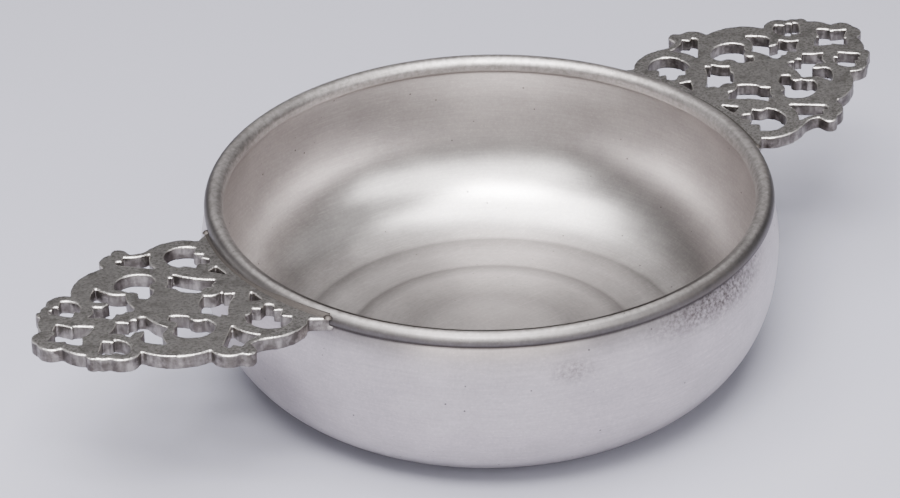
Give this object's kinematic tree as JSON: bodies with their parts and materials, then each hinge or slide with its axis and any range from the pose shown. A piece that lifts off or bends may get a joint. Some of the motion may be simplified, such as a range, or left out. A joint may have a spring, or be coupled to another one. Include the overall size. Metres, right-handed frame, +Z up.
{
  "type": "porringer",
  "caption": "Low round bellied bowl with an applied rim band and two flat pierced handles soldered on opposite sides, for serving food.",
  "frame": {"origin": "centre of the base, on the surface the bowl stands on", "axes": "+X through the right handle, +Y to the back, +Z up through the bowl's open top"},
  "size_m": [0.2508, 0.1428, 0.0507],
  "materials": {
    "bowl_pewter": "turned and rubbed satin pewter with fine scratches",
    "band_pewter": "burnished pewter, rounded and lightly worn",
    "cast_pewter": "cast pewter, darker, rubbed bright along the edges",
    "solder": "bright soft solder, smooth"
  },
  "bodies": {
    "root": {"bowl": "bowl_pewter", "rim_band": "band_pewter", "handle_left": "cast_pewter", "handle_right": "cast_pewter", "solder_left": "solder", "solder_right": "solder"}
  },
  "joints": []
}
